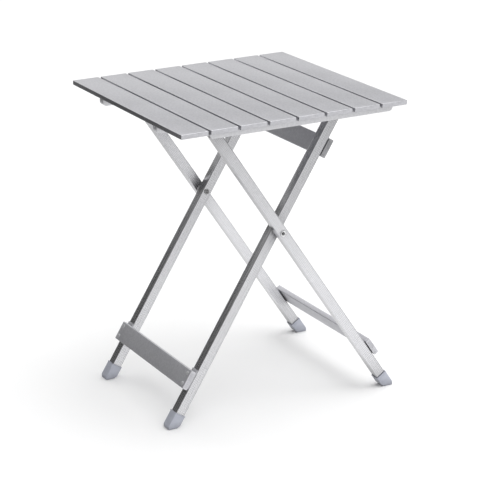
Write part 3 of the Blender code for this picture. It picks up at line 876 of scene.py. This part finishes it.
def leg_outline():
    half_width, half_depth = LEG_WIDTH / 2, LEG_DEPTH / 2
    x, y = half_width - LEG_CORNER, half_depth - LEG_CORNER
    far_half = (
        arc(-x, y, LEG_CORNER, 180, 90, LEG_CORNER_STEPS)
        + ribbed_face(x, half_depth)
        + arc(x, y, LEG_CORNER, 90, 0, LEG_CORNER_STEPS)
    )
    return far_half + [(-px, -py) for px, py in far_half]


def pivot_bores(kind, word):
    """Helper rods for the round holes in a leg."""
    y = centre("%s_leg_%s" % (kind, word)).y
    top_pin = HINGE.x if kind == "inner" else centre("slide_pin_" + word).x
    top_radius = HINGE_SHANK if kind == "inner" else SLIDE_SHANK
    places = [(CROSSING.x, CROSSING.z, PIVOT_SHANK), (top_pin, HINGE.z, top_radius)]
    rods = []
    for x, z, radius in places:
        matrix = Matrix.Translation((x, y, z)) @ UPRIGHT
        rods.append(add_object("bore", rod_mesh(radius + GAP, LEG_DEPTH * 2), matrix))
    return rods


def make_legs():
    bore_width, bore_depth = LEG_WIDTH - 2 * LEG_WALL, LEG_DEPTH - 2 * LEG_WALL
    bore = rounded_rectangle(bore_width, bore_depth, LEG_INNER_CORNER, 2)
    for kind, lean in LEANS.items():
        for word, _ in SIDES:
            node = "%s_leg_%s" % (kind, word)
            mesh = extruded_mesh([leg_outline(), bore], LENGTHS[kind])
            leg = add_object(node + "_look", mesh, standing(centre(node), lean))
            rods = pivot_bores(kind, word)
            for rod in rods:
                add_boolean(leg, rod)
            apply_modifiers(leg)
            remove_helpers(rods)
            look = INNER_LEG_LOOK if kind == "inner" else None
            show(leg, "leg_aluminium", BODIES[kind], node, angle=LEG_SHARP_ANGLE, look=look)


# ---------------------------------------------------------------- feet

def make_foot(kind, word):
    """Cap with a thin lip at its rim, a level sole and an upright nose at its outer end."""
    node = "%s_foot_%s" % (kind, word)
    leg = centre("%s_leg_%s" % (kind, word))
    low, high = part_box(node)
    lean, half = LEANS[kind], FOOT_WIDTH / 2
    outer = math.copysign(1.0, -lean)
    place = standing(Vector((leg.x, (low.y + high.y) / 2, leg.z + FOOT_LIFT)), lean)
    rim = (high.z - leg.z - half * math.sin(abs(lean))) / math.cos(lean)

    def floor_at(x):
        return (x * math.sin(lean) - leg.z) / math.cos(lean)

    wide = half - FOOT_SLIM
    nose_x = outer * (wide - FOOT_NOSE_HEIGHT * math.sin(abs(lean)))
    nose_top = floor_at(outer * wide) + FOOT_NOSE_HEIGHT / math.cos(lean)
    heel_x = -outer * (wide - FOOT_CHAMFER)
    body_rim = rim - FOOT_LIP / 2
    outline = [
        (outer * wide, body_rim),
        (outer * wide, nose_top),
        (nose_x, floor_at(nose_x)),
        (heel_x, floor_at(heel_x)),
        (-outer * wide, floor_at(-outer * wide) + FOOT_CHAMFER),
        (-outer * wide, body_rim),
    ]
    depth = high.y - low.y
    body = extruded_mesh([outline], depth - 2 * FOOT_SLIM)
    foot = add_object(node + "_look", body, place @ UPRIGHT)
    add_bevel(foot, FOOT_EDGE, FOOT_EDGE_STEPS, FOOT_EDGE_ANGLE)
    lip_mesh = box_mesh(2 * half, depth, FOOT_LIP)
    lip = add_object("lip", lip_mesh, place @ Matrix.Translation((0.0, 0.0, rim - FOOT_LIP / 2)))
    add_bevel(lip, FOOT_LIP_EDGE, angle=FOOT_LIP_ANGLE)
    add_boolean(foot, lip, "UNION")
    grip = rim + LENGTHS[kind] / 2
    socket_length = grip + CUTTER_MARGIN
    socket_mesh = box_mesh(LEG_WIDTH + 2 * GAP, LEG_DEPTH + 2 * GAP, socket_length)
    shift = Matrix.Translation((0.0, 0.0, rim - grip - GAP + socket_length / 2))
    socket = add_object("socket", socket_mesh, place @ shift)
    add_boolean(foot, socket)
    apply_modifiers(foot)
    remove_helpers([lip, socket])
    show(foot, "foot_plastic", BODIES[kind], node)


# ---------------------------------------------------------------- crossbars

def make_crossbar(word, kind, face):
    """Flat bar with its plugs, pads and rivets. face is 1 or -1, its side of the legs."""
    lean, body = LEANS[kind], BODIES[kind]
    node = word + "_crossbar"
    middle = centre(node)
    length = size(node).y
    outer = rounded_rectangle(BAR_THICK, BAR_HEIGHT, BAR_CORNER)
    bore_x, bore_z = BAR_THICK - 2 * BAR_WALL, BAR_HEIGHT - 2 * BAR_WALL
    inner = rounded_rectangle(bore_x, bore_z, BAR_INNER_CORNER, 2)
    place = standing(middle, lean)
    bar = add_object(node + "_look", extruded_mesh([outer, inner], length), place @ UPRIGHT)
    show(bar, "crossbar_aluminium", body, node)
    for end, side in SIDES:
        plug = make_plug("%s_%s_plug" % (node, end), place, length / 2 + GAP, side, body)
        # The upper crossbar's plugs get painted shade from the top.
        if word == "inner_upper":
            plug.data.materials[0] = SHADED_PLUG_LOOK
        make_pad("%s_%s_spacer" % (node, end), lean, body)
        for position in ("lower", "upper"):
            rivet = "%s_%s_%s_rivet" % (node, end, position)
            make_bar_rivet(rivet, place, face, body)


def make_plug(node, place, bar_end, side, body):
    """End plug: a flange with shallow flutes along its face and a tongue inside the bar."""
    flange_place = place @ Matrix.Translation((0.0, side * (bar_end + PLUG_FLANGE / 2), 0.0))
    flange = extruded_mesh([rounded_rectangle(BAR_THICK, BAR_HEIGHT, BAR_CORNER)], PLUG_FLANGE)
    plug = add_object(node + "_look", flange, flange_place @ UPRIGHT)
    add_bevel(plug, PLUG_EDGE, angle=PLUG_EDGE_ANGLE)
    shrink = 2 * BAR_WALL + 2 * GAP
    tongue_mesh = box_mesh(BAR_THICK - shrink, PLUG_DEPTH, BAR_HEIGHT - shrink)
    inward = Matrix.Translation((0.0, -side * PLUG_DEPTH / 2, 0.0))
    helpers = [add_object("tongue", tongue_mesh, flange_place @ inward)]
    add_boolean(plug, helpers[0], "UNION")
    for index in range(FLUTE_COUNT):
        x = (index - (FLUTE_COUNT - 1) / 2) * BAR_THICK / (FLUTE_COUNT + 1)
        flute = box_mesh(FLUTE_WIDTH, FLUTE_DEPTH, BAR_HEIGHT - FLUTE_INSET)
        shift = Matrix.Translation((x, side * PLUG_FLANGE / 2, 0.0))
        helpers.append(add_object("flute", flute, flange_place @ shift))
        add_boolean(plug, helpers[-1])
    apply_modifiers(plug)
    remove_helpers(helpers)
    return show(plug, "grey_plastic", body, node)


def make_pad(node, lean, body):
    """Thin pad with soft edges between a crossbar and a leg."""
    _, depth, height = size(node)
    length = (height - SPACER_THICK * abs(math.sin(lean))) / math.cos(lean)
    mesh = box_mesh(SPACER_THICK, depth, length)
    pad = add_object(node + "_look", mesh, standing(centre(node), lean))
    add_bevel(pad, SPACER_EDGE)
    apply_modifiers(pad)
    show(pad, "grey_plastic", body, node)


def make_bar_rivet(node, bar_place, face, body):
    """Domed head on the bar's outer face, with its shank through to the inside of the leg."""
    local = bar_place.inverted() @ centre(node)
    surface = BAR_THICK / 2 + GAP
    grip = BAR_THICK + SPACER_THICK + LEG_WALL + 4 * GAP
    end = -grip - BAR_RIVET_TAIL_HEIGHT
    profile = dome(BAR_RIVET_HEAD, BAR_RIVET_HEIGHT) + [
        (BAR_RIVET_SHANK, 0.0),
        (BAR_RIVET_SHANK, -grip),
        (BAR_RIVET_TAIL, -grip),
        (BAR_RIVET_TAIL, end),
        (0.0, end),
    ]
    outward = Matrix.Rotation(math.radians(90 * face), 4, "Y")
    place = bar_place @ Matrix.Translation((face * surface, local.y, local.z)) @ outward
    show(add_object(node + "_look", turned_mesh(profile), place), "rivet_steel", body, node)


# ---------------------------------------------------------------- pivots

def rolled_tail(grip):
    """Profile of the crossing rivet's swaged inner end: a ring, a groove and a core."""
    end = -grip - PIVOT_TAIL_HEIGHT
    groove = PIVOT_GROOVE - grip
    return [
        (PIVOT_TAIL, -grip),
        (PIVOT_TAIL, end + SMALL_EDGE),
        (PIVOT_TAIL - SMALL_EDGE, end),
        (PIVOT_BORE + SMALL_EDGE, end),
        (PIVOT_BORE, end + SMALL_EDGE),
        (PIVOT_BORE, groove),
        (PIVOT_CORE, groove),
        (PIVOT_CORE, end + 2 * SMALL_EDGE),
        (PIVOT_CORE - SMALL_EDGE, end + SMALL_EDGE),
        (0.0, end + SMALL_EDGE),
    ]


def make_pivots(word, side):
    """Hollow rivet through both legs at the crossing, and the ring between the legs."""
    node = "crossing_rivet_" + word
    surface = centre("outer_leg_" + word).y + side * (LEG_DEPTH / 2 + GAP)
    tail = centre("inner_leg_" + word).y - side * (LEG_DEPTH / 2 + GAP)
    grip = abs(surface - tail)
    profile = rolled_head(PIVOT_HEAD, PIVOT_HEIGHT)
    profile += [(PIVOT_SHANK, 0.0), (PIVOT_SHANK, -grip)]
    profile += rolled_tail(grip)
    place = Matrix.Translation((CROSSING.x, surface, CROSSING.z)) @ facing(side)
    rivet = add_object(node + "_look", turned_mesh(profile), place)
    # The crossing rivets use a brighter copy of the rivet steel, painted light, with painted shade in
    # their hollows.
    bright = turned_metal("rivet_steel_hollow", BRIGHT_RIVET_FINISH, BRIGHT_RIVET_METALLIC)
    show(rivet, "rivet_steel", "inner_frame", node, look=shade_hollow(bright, grip))

    node = "crossing_ring_" + word
    place = Matrix.Translation(centre(node)) @ facing(side)
    mesh = turned_mesh(ring_profile(PIVOT_SHANK + GAP, RING_RADIUS, size(node).y / 2, RING_EDGE))
    show(add_object(node + "_look", mesh, place), "nylon", "inner_frame", node, look=RING_LOOK)


def ring_profile(bore, radius, half, edge):
    """Closed profile of a ring with rounded outer edges."""
    return (
        [(bore, half)]
        + arc(radius - edge, half - edge, edge, 90, 0, RING_STEPS)
        + arc(radius - edge, edge - half, edge, 0, -90, RING_STEPS)
        + [(bore, -half), (bore, half)]
    )


def button(radius, height, level):
    """Profile of a domed head below a level, from its rim in to its middle."""
    return [(x, level - z) for x, z in reversed(dome(radius, height))]


def make_hinge_rivet(word, side):
    """Shouldered rivet through the top of the inner leg and the inner rail."""
    node = "hinge_rivet_" + word
    leg, rail = centre("inner_leg_" + word), centre("inner_rail_" + word)
    rail_half = size("inner_rail_" + word).y / 2
    leg_outer = abs(leg.y) + LEG_DEPTH / 2 + GAP
    leg_inner = abs(leg.y) - LEG_DEPTH / 2 - GAP - leg_outer
    rail_outer = abs(rail.y) + rail_half + GAP - leg_outer
    rail_inner = abs(rail.y) - rail_half - GAP - leg_outer
    profile = dome(HINGE_HEAD, BUTTON_HEIGHT) + [
        (HINGE_SHANK, 0.0),
        (HINGE_SHANK, leg_inner),
        (HINGE_SHOULDER, leg_inner),
        (HINGE_SHOULDER, rail_outer),
        (HINGE_SHANK, rail_outer),
        (HINGE_SHANK, rail_inner),
    ]
    profile += button(HINGE_TAIL, BUTTON_HEIGHT, rail_inner)
    place = Matrix.Translation((HINGE.x, side * leg_outer, HINGE.z)) @ facing(side)
    show(add_object(node + "_look", turned_mesh(profile), place), "rivet_steel", "inner_frame", node)


def make_slide(word, side):
    """Pin at the top of the outer leg, with the grooved bush that runs in the rail's slot."""
    node = "slide_pin_" + word
    bush_node = "slide_bush_" + word
    low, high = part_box(node)
    bush_y = centre(bush_node).y
    bush_half = size(bush_node).y / 2
    inner = abs(centre("outer_leg_" + word).y) - LEG_DEPTH / 2 - GAP
    tip = abs(bush_y) + bush_half + GAP - inner
    end = max(abs(low.y), abs(high.y)) - inner
    profile = [
        (0.0, end),
        (SLIDE_COLLAR - SMALL_EDGE, end),
        (SLIDE_COLLAR, end - SMALL_EDGE),
        (SLIDE_COLLAR, tip),
        (SLIDE_SHANK, tip),
        (SLIDE_SHANK, 0.0),
    ]
    profile += button(SLIDE_HEAD, BUTTON_HEIGHT, 0.0)
    x = (low.x + high.x) / 2
    place = Matrix.Translation((x, side * inner, HINGE.z)) @ facing(side)
    show(add_object(node + "_look", turned_mesh(profile), place), "rivet_steel", "outer_frame", node)
    place = Matrix.Translation((x, bush_y, HINGE.z)) @ facing(side)
    mesh = turned_mesh(ring_profile(SLIDE_SHANK + GAP, BUSH_RADIUS, bush_half, SMALL_EDGE))
    show(add_object(bush_node + "_look", mesh, place), "nylon", "outer_frame", bush_node)


def make_rail_stop(word):
    """Moulded block in the outer rail with two shallow notches in its lower face."""
    node = "rail_stop_" + word
    long, deep, high = size(node)
    place = Matrix.Translation(centre(node))
    stop = add_object(node + "_look", box_mesh(long, deep, high), place)
    add_bevel(stop, STOP_EDGE)
    helpers = []
    for sign in (-1, 1):
        notch = box_mesh(long / STOP_PARTS, deep / 2, 2 * STOP_EDGE)
        shift = Matrix.Translation((sign * long / STOP_PARTS, 0.0, -high / 2))
        helpers.append(add_object("notch", notch, place @ shift))
        add_boolean(stop, helpers[-1])
    apply_modifiers(stop)
    remove_helpers(helpers)
    show(stop, "grey_plastic", "tabletop", node)


# ---------------------------------------------------------------- stage, light and camera

def make_floor():
    material, tree, shader, vector = node_material("studio_floor")
    paper = add_noise(tree, vector, PAPER_SCALE, EVEN)
    tree.links.new(tint(tree, paper, FLOOR_DARK, FLOOR_LIGHT), shader.inputs["Base Color"])
    shader.inputs["Roughness"].default_value = FLOOR_ROUGHNESS
    shader.inputs["Specular IOR Level"].default_value = FLOOR_SPECULAR
    mesh = box_mesh(FLOOR_WIDTH, FLOOR_WIDTH, FLOOR_THICK)
    place = Matrix.Translation((0.0, 0.0, -FLOOR_THICK / 2 - FLOOR_DROP))
    floor = add_object("studio_floor", mesh, place)
    floor.data.materials.append(material)
    floor.visible_glossy = False


def ramp_along(tree, vector, direction, start, end, first, last):
    """Value that goes from first to last as a vector's reach along a direction grows."""
    dot = tree.nodes.new("ShaderNodeVectorMath")
    dot.operation = "DOT_PRODUCT"
    dot.inputs[1].default_value = direction
    tree.links.new(vector, dot.inputs[0])
    ramp = tree.nodes.new("ShaderNodeMapRange")
    ramp.interpolation_type = "SMOOTHSTEP"
    ramp.inputs["From Min"].default_value = start
    ramp.inputs["From Max"].default_value = end
    ramp.inputs["To Min"].default_value = first
    ramp.inputs["To Max"].default_value = last
    tree.links.new(dot.outputs["Value"], ramp.inputs["Value"])
    return ramp.outputs["Result"]


def make_light():
    """A pale studio with a bright ceiling and dim flags around it, and a soft light above."""
    world = bpy.data.worlds.new("studio")
    bpy.context.scene.world = world
    world.use_nodes = True
    tree = world.node_tree
    background = tree.nodes["Background"]
    background.inputs["Color"].default_value = (1.0, 1.0, 1.0, 1.0)
    view = tree.nodes.new("ShaderNodeTexCoord").outputs["Generated"]
    wall = ramp_along(tree, view, UP, WALL_START, WALL_END, FLOOR_LEVEL, WALL_LEVEL)
    ceiling = ramp_along(tree, view, UP, CEILING_START, CEILING_END, 0.0, CEILING_LEVEL)
    level = join_values(tree, wall, ceiling, "ADD")
    for flag in (LEFT_FLAG, RIGHT_FLAG, BACK_FLAG, FRONT_FLAG, BACK_PANEL):
        direction, start, end, reached = flag
        shade = ramp_along(tree, view, direction, start, end, 1.0, reached)
        level = join_values(tree, level, shade, "MULTIPLY")
    direction, start, end, _ = LEFT_FLAG
    soft = ramp_along(tree, view, direction, start, end, SOFT_LEVEL, SOFT_LEFT)
    rays = tree.nodes.new("ShaderNodeLightPath").outputs
    level = blend_values(tree, soft, level, rays["Is Glossy Ray"])
    level = join_values(tree, level, rays["Is Camera Ray"], "MAXIMUM")
    tree.links.new(level, background.inputs["Strength"])
    add_area_light("top_softbox", SOFTBOX_PLACE, SOFTBOX_TARGET, SOFTBOX_WIDTH, SOFTBOX_POWER)


def make_dark_card():
    """A dark card behind and to the left that shows only in reflections and fades out upwards."""
    material = bpy.data.materials.new("dark_card")
    material.use_nodes = True
    tree = material.node_tree
    tree.nodes.remove(tree.nodes["Principled BSDF"])
    place = tree.nodes.new("ShaderNodeNewGeometry").outputs["Position"]
    level = ramp_along(tree, place, UP, CARD_FADE_START, CARD_FADE_END, CARD_LEVEL, CARD_END_LEVEL)
    emission = tree.nodes.new("ShaderNodeEmission")
    tree.links.new(level, emission.inputs["Strength"])
    tree.links.new(emission.outputs["Emission"], tree.nodes["Material Output"].inputs["Surface"])
    turn = Matrix.Rotation(math.radians(CARD_AZIMUTH), 4, "Z")
    middle = turn @ Matrix.Translation((CARD_SHIFT, CARD_DISTANCE, (CARD_TOP + CARD_BOTTOM) / 2))
    mesh = box_mesh(CARD_WIDTH, CARD_THICK, CARD_TOP - CARD_BOTTOM)
    card = add_object("dark_card", mesh, middle)
    card.data.materials.append(material)
    card.visible_camera = False
    card.visible_diffuse = False
    card.visible_shadow = False
    card.visible_transmission = False


def add_area_light(name, place, target, width, power):
    light = bpy.data.lights.new(name, "AREA")
    light.shape = "SQUARE"
    light.size = width
    light.energy = power
    lamp = bpy.data.objects.new(name, light)
    aim = Vector(target) - Vector(place)
    lamp.matrix_world = Matrix.Translation(place) @ aim.to_track_quat("-Z", "Y").to_matrix().to_4x4()
    bpy.context.scene.collection.objects.link(lamp)


def make_camera():
    data = bpy.data.cameras.new("camera")
    data.lens = CAMERA_LENS
    data.sensor_width = CAMERA_SENSOR
    data.clip_start = CAMERA_NEAR
    camera = bpy.data.objects.new("camera", data)
    turn = Matrix.Rotation(math.radians(-CAMERA_AZIMUTH), 4, "Z")
    tilt = Matrix.Rotation(math.radians(90 - CAMERA_ELEVATION), 4, "X")
    roll = Matrix.Rotation(math.radians(CAMERA_ROLL), 4, "Z")
    camera.matrix_world = Matrix.Translation(CAMERA_PLACE) @ turn @ tilt @ roll
    bpy.context.scene.collection.objects.link(camera)
    bpy.context.scene.camera = camera


make_slats()
make_rails()
make_legs()
for frame_kind in ("inner", "outer"):
    for end_word, _ in SIDES:
        make_foot(frame_kind, end_word)
make_crossbar("inner_lower", "inner", -1)
make_crossbar("inner_upper", "inner", 1)
make_crossbar("outer_lower", "outer", 1)
for end_word, end_side in SIDES:
    make_pivots(end_word, end_side)
    make_hinge_rivet(end_word, end_side)
    make_slide(end_word, end_side)
    make_rail_stop(end_word)
make_floor()
make_light()
make_dark_card()
make_camera()
bpy.context.scene.view_settings.view_transform = "Standard"
